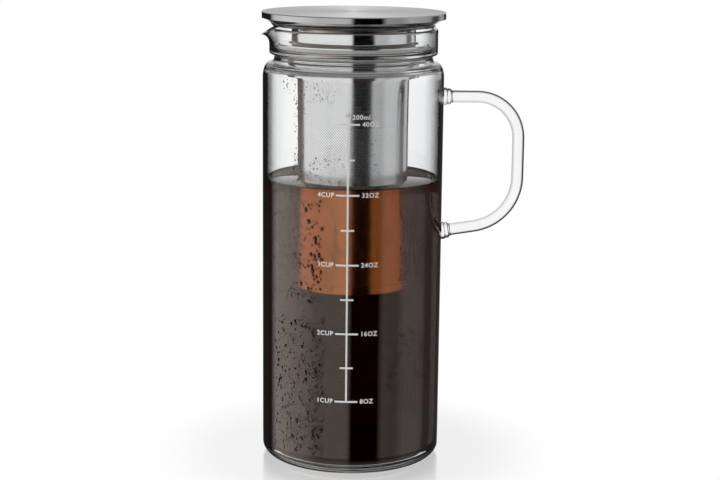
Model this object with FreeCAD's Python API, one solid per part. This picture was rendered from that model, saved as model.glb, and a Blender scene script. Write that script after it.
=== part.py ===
import FreeCAD, Part
import math
import os

os.makedirs("parts", exist_ok=True)

# A glass cold brew maker: a carafe with a drawn handle, a steel filter basket that hangs
# in its neck, and a steel lid whose plug closes the basket.
# Sizes are in millimetres and angles in degrees. +Z is up, the carafe stands on Z = 0 with its
# axis at X = Y = 0, the handle is on the +X side, the pouring lip on the -X side, and the
# printed scale faces -Y.

# Glass body
BODY_RADIUS = 48.0
GLASS_WALL = 2.4
FLOOR_THICKNESS = 4.4
FOOT_ROUND = 6.0
FLOOR_ROUND = 5.0
STRAIGHT_HEIGHT = 205.0
SHOULDER_RISE = 7.9
GROOVE_DEPTH = 6.0
GROOVE_ROUND = 2.2
GROOVE_WALL = 3.6
NECK_INSET = 3.5
NECK_ROUND = 1.0
NECK_HEIGHT = 15.9
NECK_FILLET = 1.5

# Pouring lip
LIP_HEIGHT = 9.0
LIP_REACH = 4.9
LIP_DROP = 4.1
LIP_HALF_ANGLE = 22.0
LIP_STEPS = 8
LIP_JOIN = 0.01

# Glass handle
ROD_RADIUS = 3.2
HANDLE_REACH = 40.0
HANDLE_TOP_DROP = 9.9
HANDLE_SPAN = 72.4
HANDLE_TOP_BEND = 22.0
HANDLE_FOOT_BEND = 27.0
HANDLE_FOOT_SLOPE = 9.0
WELD_RADIUS = 4.7
WELD_LENGTH = 4.0
WELD_LAND = 0.9

# Printed scale
CUP_VOLUME = 236588.0
CUP_MARKS = 5
MARK_WIDTH = 0.95
INK_THICKNESS = 0.1
INK_GAP = 0.02
LONG_MARK_LEFT = 8.0
LONG_MARK_RIGHT = 3.8
SHORT_MARK_LEFT = 5.5
SHORT_MARK_RIGHT = 1.3
SCALE_OFFSET = -2.1

# Filter basket
SEAT_GAP = 0.3
SEAT_OVERLAP = 1.1
SEAL_WIDTH = 4.8
SEAL_HEIGHT = 4.2
SEAL_ROUND = 1.4
RIM_SHEET = 0.8
RIM_ROUND = 0.3
COLLAR_SHEET = 0.6
COLLAR_DROP = 10.8
RIDGE_ROUND = 0.35
RIDGE_DROPS = [3.0, 4.5, 7.0]
STEP_SHEET = 0.8
SOCKET_SHEET = 0.8
SOCKET_DEPTH = 1.6
TUBE_INSET = 5.2
BAND_SHEET = 0.5
UPPER_BAND = 11.1
LOWER_BAND = 14.0
BAND_STEP = 0.1
MESH_LENGTH = 87.5
MESH_SHEET = 0.4
SEAM_WIDTH = 3.0
SEAM_SHEET = 0.3
CAP_HEIGHT = 4.5
CAP_SHEET = 0.4
CAP_ROUND = 0.9

# Lid
LID_OVERHANG = 0.5
LID_SHEET = 0.8
LID_EDGE_ROUND = 0.5
LID_SKIRT = 3.3
DISH_INSET = 0.2
DISH_DEPTH = 4.0
DISH_RUN = 5.5
RIM_CLEARANCE = 1.0
PLUG_INSET = 2.0
PLUG_SHEET = 0.8
PLUG_ROUND = 1.0
CARRIER_SHEET = 1.5
CARRIER_DEPTH = 8.0
RING_HEIGHT = 2.2
RING_WIDTH = 3.3
RING_DROPS = [1.2, 4.8]
RING_GAP = 0.3

# Sizes that follow from the ones above
INNER_RADIUS = BODY_RADIUS - GLASS_WALL
NECK_RADIUS = BODY_RADIUS - NECK_INSET
NECK_INNER = NECK_RADIUS - GLASS_WALL
GROOVE_R = BODY_RADIUS - GROOVE_DEPTH + GROOVE_ROUND
GROOVE_Z = STRAIGHT_HEIGHT + SHOULDER_RISE + GROOVE_ROUND
INNER_GROOVE_ROUND = GROOVE_ROUND + GROOVE_WALL
GLASS_TOP = GROOVE_Z + NECK_HEIGHT
LIP_ROOT = GLASS_TOP - LIP_HEIGHT
HANDLE_X = BODY_RADIUS + HANDLE_REACH
HANDLE_TOP_Z = STRAIGHT_HEIGHT - HANDLE_TOP_DROP
HANDLE_FOOT_Z = HANDLE_TOP_Z - HANDLE_SPAN

SEAL_RADIUS = GROOVE_R - INNER_GROOVE_ROUND + SEAT_OVERLAP
COLLAR_RADIUS = SEAL_RADIUS - SEAL_WIDTH
TUBE_RADIUS = COLLAR_RADIUS - TUBE_INSET
SEAL_EDGE_R = SEAL_RADIUS - SEAL_ROUND
SEAL_EDGE_TO_GROOVE = INNER_GROOVE_ROUND + SEAL_ROUND + SEAT_GAP
SEAL_EDGE_Z = GROOVE_Z + math.sqrt(SEAL_EDGE_TO_GROOVE ** 2 - (GROOVE_R - SEAL_EDGE_R) ** 2)
SEAL_Z = SEAL_EDGE_Z - SEAL_ROUND
RIM_Z = SEAL_Z + SEAL_HEIGHT
RIM_TOP = RIM_Z + RIM_SHEET
COLLAR_Z = SEAL_Z - COLLAR_DROP
STEP_Z = COLLAR_Z - STEP_SHEET
SOCKET_Z = STEP_Z - SOCKET_DEPTH
UPPER_BAND_Z = STEP_Z - UPPER_BAND
LOWER_BAND_Z = UPPER_BAND_Z - LOWER_BAND
MESH_RADIUS = TUBE_RADIUS - 2 * BAND_STEP
MESH_Z = LOWER_BAND_Z - MESH_LENGTH
CAP_Z = MESH_Z - CAP_SHEET

LID_RADIUS = BODY_RADIUS + LID_OVERHANG
PLUG_RADIUS = COLLAR_RADIUS - PLUG_INSET
CARRIER_RADIUS = COLLAR_RADIUS - COLLAR_SHEET - RING_GAP - RING_WIDTH
PLUG_Z = RIM_TOP + SEAT_GAP
DISH_Z = GLASS_TOP + RIM_CLEARANCE
SKIRT_Z = DISH_Z + DISH_DEPTH
LID_TOP = SKIRT_Z + LID_SKIRT


def at(radius, z):
    """A point of an outline, in the XZ plane."""
    return FreeCAD.Vector(radius, 0, z)


def line(start, end):
    return Part.LineSegment(start, end).toShape()


def arc(centre, radius, start, end):
    """An arc of an outline, from one angle to another about its centre."""
    points = []
    for share in (0.0, 0.5, 1.0):
        angle = math.radians(start + share * (end - start))
        points.append(centre + at(radius * math.cos(angle), radius * math.sin(angle)))
    return Part.Arc(*points).toShape()


def quarter_ellipse(side_end, level_end):
    """A quarter ellipse that starts upright at one end and finishes level at the other."""
    centre = at(level_end.x, side_end.z)
    half_turn = math.pi / 2
    points = []
    for step in range(7):
        angle = half_turn * step / 6
        across = (side_end.x - centre.x) * math.cos(angle)
        rise = (level_end.z - centre.z) * math.sin(angle)
        points.append(centre + at(across, rise))
    curve = Part.BSplineCurve()
    up = at(0, 1) * abs(level_end.z - centre.z)
    across = at(level_end.x - side_end.x, 0)
    curve.interpolate(Points=points, InitialTangent=up, FinalTangent=across)
    return curve.toShape()


def turned(edges, angle=360.0):
    """A solid of revolution about the Z axis from the edges of a closed outline."""
    face = Part.Face(Part.Wire(edges))
    return face.revolve(FreeCAD.Vector(0, 0, 0), FreeCAD.Vector(0, 0, 1), angle)


def turned_polygon(corners):
    edges = []
    for start, end in zip(corners, corners[1:] + corners[:1]):
        edges.append(line(at(*start), at(*end)))
    return turned(edges)


def tube(inner, outer, low, high):
    return turned_polygon([(inner, low), (outer, low), (outer, high), (inner, high)])


def angle_of(point, centre):
    return math.degrees(math.atan2(point.z - centre.z, point.x - centre.x))


def outer_wall():
    """The outside of the glass from the middle of its base up to the root of the lip."""
    foot = at(BODY_RADIUS - FOOT_ROUND, FOOT_ROUND)
    groove = at(GROOVE_R, GROOVE_Z)
    corner_r = NECK_RADIUS - NECK_ROUND
    reach = GROOVE_ROUND + NECK_ROUND
    corner = at(corner_r, GROOVE_Z + math.sqrt(reach ** 2 - (GROOVE_R - corner_r) ** 2))
    touch = angle_of(corner, groove)
    shoulder = at(BODY_RADIUS, STRAIGHT_HEIGHT)
    return [
        line(at(0, 0), at(foot.x, 0)),
        arc(foot, FOOT_ROUND, -90, 0),
        line(at(BODY_RADIUS, FOOT_ROUND), shoulder),
        quarter_ellipse(shoulder, at(GROOVE_R, GROOVE_Z - GROOVE_ROUND)),
        arc(groove, GROOVE_ROUND, 270, touch),
        arc(corner, NECK_ROUND, touch - 180, 0),
        line(at(NECK_RADIUS, corner.z), at(NECK_RADIUS, LIP_ROOT)),
    ]


def inner_wall():
    """The inside of the glass from the root of the lip down to the middle of the floor."""
    floor = at(INNER_RADIUS - FLOOR_ROUND, FLOOR_THICKNESS + FLOOR_ROUND)
    groove = at(GROOVE_R, GROOVE_Z)
    fillet_r = NECK_INNER - NECK_FILLET
    reach = INNER_GROOVE_ROUND + NECK_FILLET
    fillet = at(fillet_r, GROOVE_Z + math.sqrt(reach ** 2 - (GROOVE_R - fillet_r) ** 2))
    touch = angle_of(fillet, groove)
    shoulder = at(INNER_RADIUS, STRAIGHT_HEIGHT)
    return [
        line(at(NECK_INNER, LIP_ROOT), at(NECK_INNER, fillet.z)),
        arc(fillet, NECK_FILLET, 0, touch - 180),
        arc(groove, INNER_GROOVE_ROUND, touch, 270),
        quarter_ellipse(shoulder, at(GROOVE_R, GROOVE_Z - INNER_GROOVE_ROUND)),
        line(shoulder, at(INNER_RADIUS, floor.z)),
        arc(floor, FLOOR_ROUND, 0, -90),
        line(at(floor.x, FLOOR_THICKNESS), at(0, FLOOR_THICKNESS)),
    ]


def lip_point(radius, z, pull, azimuth):
    """A point of the neck, bent out and down where the lip is pulled, and turned to its place."""
    height = (z - LIP_ROOT) / LIP_HEIGHT
    radius = radius + LIP_REACH * pull * height ** 2
    z = z - LIP_DROP * pull * height ** 2
    turn = math.radians(azimuth)
    return FreeCAD.Vector(-radius * math.cos(turn), -radius * math.sin(turn), z)


def lip_section(azimuth):
    """The neck wall above the root of the lip, cut through at an angle from the -X side."""
    pull = math.cos(math.radians(90.0 * azimuth / LIP_HALF_ANGLE)) ** 2
    rim_round = GLASS_WALL / 2
    rim_z = GLASS_TOP - rim_round
    heights = [LIP_ROOT + (rim_z - LIP_ROOT) * step / 6 for step in range(7)]
    outside = [lip_point(NECK_RADIUS, z, pull, azimuth) for z in heights]
    inside = [lip_point(NECK_INNER, z, pull, azimuth) for z in reversed(heights)]
    crown = []
    for step in range(9):
        turn = math.pi * step / 8
        radius = NECK_RADIUS - rim_round + rim_round * math.cos(turn)
        crown.append(lip_point(radius, rim_z + rim_round * math.sin(turn), pull, azimuth))
    edges = []
    for points in (outside, crown, inside):
        curve = Part.BSplineCurve()
        curve.interpolate(points)
        edges.append(curve.toShape())
    edges.append(line(inside[-1], outside[0]))
    return Part.Wire(edges)


def carafe_body():
    """Glass body with its neck groove, rim and pouring lip."""
    top = line(at(NECK_RADIUS, LIP_ROOT), at(NECK_INNER, LIP_ROOT))
    axis = line(at(0, FLOOR_THICKNESS), at(0, 0))
    lower = turned(outer_wall() + [top] + inner_wall() + [axis])
    plain = Part.Face(lip_section(LIP_HALF_ANGLE))
    plain_turn = 360.0 - 2 * LIP_HALF_ANGLE
    rim = plain.revolve(FreeCAD.Vector(0, 0, 0), FreeCAD.Vector(0, 0, 1), plain_turn)
    angles = [LIP_HALF_ANGLE * (2 * step / LIP_STEPS - 1) for step in range(LIP_STEPS + 1)]
    lip = Part.makeLoft([lip_section(angle) for angle in angles], True, False)
    return lower.fuse([rim, lip], LIP_JOIN).removeSplitter()


def handle_path():
    """Centre line of the glass rod, and its two ends where the welds hold it."""
    start = at(BODY_RADIUS + WELD_LENGTH, HANDLE_TOP_Z)
    top_bend = at(HANDLE_X - HANDLE_TOP_BEND, HANDLE_TOP_Z - HANDLE_TOP_BEND)
    slope = math.radians(HANDLE_FOOT_SLOPE)
    bend_x = HANDLE_X - HANDLE_FOOT_BEND
    leave = at(bend_x + HANDLE_FOOT_BEND * math.sin(slope), 0)
    leave.z = HANDLE_FOOT_Z + (leave.x - BODY_RADIUS) * math.tan(slope)
    foot_bend = at(bend_x, leave.z + HANDLE_FOOT_BEND * math.cos(slope))
    end = at(BODY_RADIUS, HANDLE_FOOT_Z) + at(math.cos(slope), math.sin(slope)) * WELD_LENGTH
    edges = [
        line(start, at(top_bend.x, HANDLE_TOP_Z)),
        arc(top_bend, HANDLE_TOP_BEND, 90, 0),
        line(at(HANDLE_X, top_bend.z), at(HANDLE_X, foot_bend.z)),
        arc(foot_bend, HANDLE_FOOT_BEND, 0, HANDLE_FOOT_SLOPE - 90),
        line(leave, end),
    ]
    return Part.Wire(edges), start


def handle_rod():
    path, start = handle_path()
    circle = Part.Circle(start, FreeCAD.Vector(1, 0, 0), ROD_RADIUS).toShape()
    return path.makePipeShell([Part.Wire([circle])], True, False)


def handle_weld(z, slope):
    """A fused glass pad that flares from the rod to the body, along the rod's own line."""
    land = BODY_RADIUS + WELD_LAND
    tip = BODY_RADIUS + WELD_LENGTH
    inside = BODY_RADIUS - WELD_RADIUS
    middle = at((land + tip) / 2, ROD_RADIUS + (WELD_RADIUS - ROD_RADIUS) * 0.3)
    edges = [
        line(at(inside, 0), at(inside, WELD_RADIUS)),
        line(at(inside, WELD_RADIUS), at(land, WELD_RADIUS)),
        Part.Arc(at(land, WELD_RADIUS), middle, at(tip, ROD_RADIUS)).toShape(),
        line(at(tip, ROD_RADIUS), at(tip, 0)),
        line(at(tip, 0), at(inside, 0)),
    ]
    face = Part.Face(Part.Wire(edges))
    pad = face.revolve(FreeCAD.Vector(0, 0, 0), FreeCAD.Vector(1, 0, 0), 360)
    pad.rotate(at(BODY_RADIUS, 0), FreeCAD.Vector(0, -1, 0), slope)
    pad.translate(at(0, z))
    glass = Part.makeCylinder(BODY_RADIUS, STRAIGHT_HEIGHT)
    return pad.cut(glass)


def upper_handle_weld():
    return handle_weld(HANDLE_TOP_Z, 0)


def lower_handle_weld():
    return handle_weld(HANDLE_FOOT_Z, HANDLE_FOOT_SLOPE)


def ink(left, right, low, high):
    """A printed patch on the front of the glass, between two distances from its middle."""
    inner = BODY_RADIUS + INK_GAP
    outer = inner + INK_THICKNESS
    start = math.degrees(math.asin(left / BODY_RADIUS))
    turn = math.degrees(math.asin(right / BODY_RADIUS)) - start
    corners = [at(inner, low), at(outer, low), at(outer, high), at(inner, high)]
    edges = [line(a, b) for a, b in zip(corners, corners[1:] + corners[:1])]
    patch = turned(edges, turn)
    patch.rotate(FreeCAD.Vector(0, 0, 0), FreeCAD.Vector(0, 0, 1), start - 90)
    return patch


def mark_height(cups):
    """How high that many cups of drink stand in the straight part of the glass."""
    area = math.pi * INNER_RADIUS ** 2
    corner = (1 - math.pi / 4) * FLOOR_ROUND ** 2 * 2 * math.pi * INNER_RADIUS
    return FLOOR_THICKNESS + (cups * CUP_VOLUME + corner) / area


def scale_marks():
    """A line with a long mark at each cup and a short mark at each half cup between."""
    half = MARK_WIDTH / 2
    low = mark_height(1) - half
    high = mark_height(CUP_MARKS) + half
    scale = ink(SCALE_OFFSET - half, SCALE_OFFSET + half, low, high)
    marks = []
    for number in range(CUP_MARKS):
        z = mark_height(number + 1)
        marks.append(ink(-LONG_MARK_LEFT, LONG_MARK_RIGHT, z - half, z + half))
    for number in range(CUP_MARKS - 1):
        z = mark_height(number + 1.5)
        marks.append(ink(-SHORT_MARK_LEFT, SHORT_MARK_RIGHT, z - half, z + half))
    return scale.fuse(marks).removeSplitter()


def filter_seal():
    """Soft ring under the basket's rim. Its rounded edge rests on the groove in the neck."""
    edge = at(SEAL_EDGE_R, SEAL_EDGE_Z)
    edges = [
        line(at(COLLAR_RADIUS, SEAL_Z), at(edge.x, SEAL_Z)),
        arc(edge, SEAL_ROUND, -90, 0),
        line(at(SEAL_RADIUS, edge.z), at(SEAL_RADIUS, RIM_Z)),
        line(at(SEAL_RADIUS, RIM_Z), at(COLLAR_RADIUS, RIM_Z)),
        line(at(COLLAR_RADIUS, RIM_Z), at(COLLAR_RADIUS, SEAL_Z)),
    ]
    return turned(edges)


def filter_rim():
    """Steel ring that closes the top of the basket and covers the soft ring."""
    inner = COLLAR_RADIUS - COLLAR_SHEET
    edge = at(SEAL_RADIUS - RIM_ROUND, RIM_TOP - RIM_ROUND)
    edges = [
        line(at(inner, RIM_Z), at(SEAL_RADIUS, RIM_Z)),
        line(at(SEAL_RADIUS, RIM_Z), at(SEAL_RADIUS, edge.z)),
        arc(edge, RIM_ROUND, 0, 90),
        line(at(edge.x, RIM_TOP), at(inner, RIM_TOP)),
        line(at(inner, RIM_TOP), at(inner, RIM_Z)),
    ]
    return turned(edges)


def filter_collar():
    """Steel collar under the rim, with rolled ridges round it."""
    inner = COLLAR_RADIUS - COLLAR_SHEET
    edges = [line(at(inner, RIM_Z), at(inner, COLLAR_Z))]
    edges.append(line(at(inner, COLLAR_Z), at(COLLAR_RADIUS, COLLAR_Z)))
    low = COLLAR_Z
    for drop in sorted(RIDGE_DROPS, reverse=True):
        z = SEAL_Z - drop
        edges.append(line(at(COLLAR_RADIUS, low), at(COLLAR_RADIUS, z - RIDGE_ROUND)))
        edges.append(arc(at(COLLAR_RADIUS, z), RIDGE_ROUND, -90, 90))
        low = z + RIDGE_ROUND
    edges.append(line(at(COLLAR_RADIUS, low), at(COLLAR_RADIUS, RIM_Z)))
    edges.append(line(at(COLLAR_RADIUS, RIM_Z), at(inner, RIM_Z)))
    return turned(edges)


def filter_step():
    """Steel step from the wide collar in to the narrow tube, with a socket for the tube."""
    inner = TUBE_RADIUS - BAND_SHEET
    socket = TUBE_RADIUS + SOCKET_SHEET
    return turned_polygon([
        (inner, COLLAR_Z), (inner, STEP_Z), (TUBE_RADIUS, STEP_Z), (TUBE_RADIUS, SOCKET_Z),
        (socket, SOCKET_Z), (socket, STEP_Z), (COLLAR_RADIUS, STEP_Z), (COLLAR_RADIUS, COLLAR_Z),
    ])


def upper_band():
    """Plain steel band at the top of the tube."""
    return tube(TUBE_RADIUS - BAND_SHEET, TUBE_RADIUS, UPPER_BAND_Z, STEP_Z)


def lower_band():
    """Second plain band, a shade narrower, above the mesh."""
    outer = TUBE_RADIUS - BAND_STEP
    return tube(outer - BAND_SHEET, outer, LOWER_BAND_Z, UPPER_BAND_Z)


def mesh_sleeve():
    """The fine mesh, as a plain thin sleeve."""
    return tube(MESH_RADIUS - MESH_SHEET, MESH_RADIUS, MESH_Z, LOWER_BAND_Z)


def mesh_seam():
    """Flat seam where the rolled mesh overlaps, at the back of the sleeve."""
    half = math.degrees(SEAM_WIDTH / 2 / MESH_RADIUS)
    low = MESH_Z + CAP_HEIGHT
    outer = MESH_RADIUS + SEAM_SHEET
    corners = [at(MESH_RADIUS, low), at(outer, low)]
    corners += [at(outer, LOWER_BAND_Z), at(MESH_RADIUS, LOWER_BAND_Z)]
    edges = [line(a, b) for a, b in zip(corners, corners[1:] + corners[:1])]
    seam = turned(edges, 2 * half)
    seam.rotate(FreeCAD.Vector(0, 0, 0), FreeCAD.Vector(0, 0, 1), 90 - half)
    return seam


def filter_base_cap():
    """Steel cup pressed over the lower end of the sleeve."""
    outer = MESH_RADIUS + CAP_SHEET
    top = MESH_Z + CAP_HEIGHT
    corner = at(outer - CAP_ROUND, CAP_Z + CAP_ROUND)
    edges = [
        line(at(0, CAP_Z), at(corner.x, CAP_Z)),
        arc(corner, CAP_ROUND, -90, 0),
        line(at(outer, corner.z), at(outer, top)),
        line(at(outer, top), at(MESH_RADIUS, top)),
        line(at(MESH_RADIUS, top), at(MESH_RADIUS, MESH_Z)),
        line(at(MESH_RADIUS, MESH_Z), at(0, MESH_Z)),
        line(at(0, MESH_Z), at(0, CAP_Z)),
    ]
    return turned(edges)


def lid_top_plate():
    """Flat steel top with a turned-down skirt."""
    inner = LID_RADIUS - LID_SHEET
    under = LID_TOP - LID_SHEET
    edge = at(LID_RADIUS - LID_EDGE_ROUND, LID_TOP - LID_EDGE_ROUND)
    edges = [
        line(at(inner, SKIRT_Z), at(LID_RADIUS, SKIRT_Z)),
        line(at(LID_RADIUS, SKIRT_Z), at(LID_RADIUS, edge.z)),
        arc(edge, LID_EDGE_ROUND, 0, 90),
        line(at(edge.x, LID_TOP), at(0, LID_TOP)),
        line(at(0, LID_TOP), at(0, under)),
        line(at(0, under), at(inner, under)),
        line(at(inner, under), at(inner, SKIRT_Z)),
    ]
    return turned(edges)


def lid_dish():
    """Steel dish that closes the lid from below and slopes in to the glass rim."""
    outer = LID_RADIUS - DISH_INSET
    inner = outer - DISH_RUN
    return turned_polygon([
        (0, DISH_Z), (inner, DISH_Z), (outer, SKIRT_Z),
        (outer - LID_SHEET, SKIRT_Z), (inner - LID_SHEET / 2, DISH_Z + LID_SHEET), (0, DISH_Z + LID_SHEET),
    ])


def lid_plug():
    """Steel cup under the dish. It stands on the rim of the filter basket."""
    corner = at(PLUG_RADIUS - PLUG_ROUND, PLUG_Z + PLUG_ROUND)
    inner = PLUG_RADIUS - PLUG_SHEET
    floor = PLUG_Z + PLUG_SHEET
    edges = [
        line(at(0, PLUG_Z), at(corner.x, PLUG_Z)),
        arc(corner, PLUG_ROUND, -90, 0),
        line(at(PLUG_RADIUS, corner.z), at(PLUG_RADIUS, DISH_Z)),
        line(at(PLUG_RADIUS, DISH_Z), at(inner, DISH_Z)),
        line(at(inner, DISH_Z), at(inner, floor)),
        line(at(inner, floor), at(0, floor)),
        line(at(0, floor), at(0, PLUG_Z)),
    ]
    return turned(edges)


def seal_carrier():
    """Cup under the plug that reaches into the collar and carries the two soft rings."""
    low = PLUG_Z - CARRIER_DEPTH
    inner = CARRIER_RADIUS - CARRIER_SHEET
    return turned_polygon([
        (0, low), (CARRIER_RADIUS, low), (CARRIER_RADIUS, PLUG_Z),
        (inner, PLUG_Z), (inner, low + CARRIER_SHEET), (0, low + CARRIER_SHEET),
    ])


def seal_ring(drop):
    """Soft ring with a rounded edge that just clears the inside of the collar."""
    top = PLUG_Z - drop
    low = top - RING_HEIGHT
    outer = COLLAR_RADIUS - COLLAR_SHEET - RING_GAP
    bulge = RING_HEIGHT / 2
    edges = [
        line(at(CARRIER_RADIUS, low), at(outer - bulge, low)),
        arc(at(outer - bulge, low + bulge), bulge, -90, 90),
        line(at(outer - bulge, top), at(CARRIER_RADIUS, top)),
        line(at(CARRIER_RADIUS, top), at(CARRIER_RADIUS, low)),
    ]
    return turned(edges)


def upper_seal_ring():
    return seal_ring(RING_DROPS[0])


def lower_seal_ring():
    return seal_ring(RING_DROPS[1])


PIECES = [
    carafe_body, handle_rod, upper_handle_weld, lower_handle_weld, scale_marks,
    filter_seal, filter_rim, filter_collar, filter_step, upper_band, lower_band,
    mesh_sleeve, mesh_seam, filter_base_cap,
    lid_top_plate, lid_dish, lid_plug, seal_carrier, upper_seal_ring, lower_seal_ring,
]

for piece in PIECES:
    shape = piece()
    shape.exportStep(os.path.join("parts", piece.__name__ + ".step"))
    print(piece.__name__, len(shape.Solids), round(shape.Volume, 1), shape.isValid())
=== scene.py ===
# %% [markdown]
# # A glass cold brew maker, dressed in Blender
# The solids of this coffee maker come ready made, at their real size, in one fixed frame:
# +Z is up, the carafe stands on Z = 0 with its axis at X = Y = 0, the handle is on the +X side
# and the printed scale faces -Y, towards the camera. This lesson adds what the eye sees:
# clear glass, coffee, polished and brushed steel, a printed scale and beads of water.

# %% Load the fixed frame
import math
import random

import bpy
from mathutils import Matrix, Vector


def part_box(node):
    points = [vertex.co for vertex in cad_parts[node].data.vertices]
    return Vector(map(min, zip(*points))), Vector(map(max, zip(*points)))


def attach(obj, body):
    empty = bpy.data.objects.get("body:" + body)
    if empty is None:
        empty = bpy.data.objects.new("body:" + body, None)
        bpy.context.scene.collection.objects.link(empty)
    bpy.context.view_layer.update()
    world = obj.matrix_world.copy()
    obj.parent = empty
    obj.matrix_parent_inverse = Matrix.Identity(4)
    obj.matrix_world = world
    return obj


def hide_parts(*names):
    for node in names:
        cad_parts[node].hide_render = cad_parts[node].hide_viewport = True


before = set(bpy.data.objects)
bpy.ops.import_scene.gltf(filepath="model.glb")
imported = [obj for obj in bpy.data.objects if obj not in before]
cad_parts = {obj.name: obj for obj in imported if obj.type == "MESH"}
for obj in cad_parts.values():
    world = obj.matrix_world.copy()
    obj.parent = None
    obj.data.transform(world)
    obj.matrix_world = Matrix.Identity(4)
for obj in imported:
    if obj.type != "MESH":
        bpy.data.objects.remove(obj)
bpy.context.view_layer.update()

MM = 0.001

# %% [markdown]
# ## The camera
# The photograph was taken with a long lens from a little above the lid. The place, tilt and
# lens below were worked out from the outline of the glass and the marks of its scale.
# The view transform is Standard, so a colour renders about as it is written.

# %% Camera
CAMERA_X = 4.35 * MM
CAMERA_DISTANCE = 895.5 * MM
CAMERA_HEIGHT = 297.6 * MM
CAMERA_TILT = math.radians(11.40)
CAMERA_ROLL = math.radians(0.59)
CAMERA_LENS = 84.84
FILM_WIDTH = 36.0

scene = bpy.context.scene
scene.view_settings.view_transform = "Standard"
camera_data = bpy.data.cameras.new("camera")
camera_data.lens = CAMERA_LENS
camera_data.sensor_width = FILM_WIDTH
camera = bpy.data.objects.new("camera", camera_data)
scene.collection.objects.link(camera)
level = Matrix.Rotation(math.pi / 2 - CAMERA_TILT, 4, "X")
rolled = level @ Matrix.Rotation(CAMERA_ROLL, 4, "Z")
camera.matrix_world = Matrix.Translation((CAMERA_X, -CAMERA_DISTANCE, CAMERA_HEIGHT)) @ rolled
scene.camera = camera
print("camera lens:", CAMERA_LENS, "mm")

# %% [markdown]
# ## A few helpers for nodes
# Every colour here is written as an sRGB hex value, as a designer would read it off a chart.
# Shaders work in linear light, so one function turns the written value into a linear one.
# A second one adds a node to a tree with its settings and its links. The kinds of node that
# come up again and again have a short function each: arithmetic, a change of range, a blend
# of two colours and a mix of two shaders.

# %% Colour and node helpers
def linear(colour):
    """An sRGB hex value such as "d8d8d8" as a linear RGBA colour."""
    channels = []
    for start in (0, 2, 4):
        value = int(colour[start:start + 2], 16) / 255
        channels.append(value / 12.92 if value <= 0.04045 else ((value + 0.055) / 1.055) ** 2.4)
    return (*channels, 1.0)


def add(tree, kind, settings=None, links=None):
    """Adds a node. A link's value is an output socket or a plain number or colour."""
    node = tree.nodes.new(kind)
    for name, value in (settings or {}).items():
        setattr(node, name, value)
    for socket, value in (links or {}).items():
        if isinstance(value, bpy.types.NodeSocket):
            tree.links.new(value, node.inputs[socket])
        else:
            node.inputs[socket].default_value = value
    return node


def maths(tree, operation, *values):
    """The result of a Math node on sockets and plain numbers."""
    return add(tree, "ShaderNodeMath", {"operation": operation}, dict(enumerate(values))).outputs[0]


def between(tree, value, low, high, start=0.0, end=1.0, soft=False):
    """Goes from start to end as the value goes from low to high, and is held past both ends."""
    kind = {"interpolation_type": "SMOOTHSTEP" if soft else "LINEAR"}
    return add(tree, "ShaderNodeMapRange", kind, {
        "Value": value, "From Min": low, "From Max": high, "To Min": start, "To Max": end}).outputs[0]


def blend(tree, share, first, second):
    """The first colour where share is 0 and the second where it is 1. Each is a socket or hex."""
    ends = [linear(end) if isinstance(end, str) else end for end in (first, second)]
    return add(tree, "ShaderNodeMix", {"data_type": "RGBA"}, {
        "Factor": share, "A": ends[0], "B": ends[1]}).outputs["Result"]


def mixed(tree, share, first, second):
    """The first shader node where share is 0 and the second where it is 1."""
    return add(tree, "ShaderNodeMixShader", None,
               {0: share, 1: first.outputs[0], 2: second.outputs[0]})


def new_material(name):
    material = bpy.data.materials.new(name)
    material.use_nodes = True
    material.node_tree.nodes.clear()
    print("material:", name)
    return material, material.node_tree


print("mid grey in linear light:", round(linear("808080")[0], 3))

# %% [markdown]
# ## The studio
# Polished steel is a mirror, so the studio is half of its look. Two tall soft panels stand in
# front of the maker, a wide bright one on the left and a dimmer one on the right, with a dark
# gap between them where the camera looks through. That gap is the dark stripe down every
# polished round piece. Narrow panels at the back give the thin bright lines near its edges.
#
# Panels of mesh would stand in the way of other views. The world can hold them instead, as
# rings of colour by direction, and a ring costs no time to render. One ring is for steel that
# looks to the side and one for steel that looks up, two are for the faint shine on the outer
# and the inner face of the glass, and one is the light that falls on matt pieces. The height
# of a direction, from -1 straight down to 1 straight up, tells where one ring gives way to
# the next. Steel that looks steeply down sees a dark table.

# %% World
def share_of_turn(degrees):
    """An angle round the studio, from -180 to 180 with 0 at the camera, as a ramp position."""
    return degrees / 360 + 0.5


def round_studio(tree, place, cards):
    """A ring of cards and panels, each an angle in degrees and a colour."""
    ramp = add(tree, "ShaderNodeValToRGB", None, {"Fac": place})
    stops = ramp.color_ramp.elements
    for stop, (angle, colour) in zip((stops[0], stops[1]), (cards[0], cards[-1])):
        stop.position = share_of_turn(angle)
        stop.color = linear(colour)
    for angle, colour in cards[1:-1]:
        stops.new(share_of_turn(angle)).color = linear(colour)
    print("studio ring:", len(stops), "stops")
    return ramp.outputs["Color"]


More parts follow.
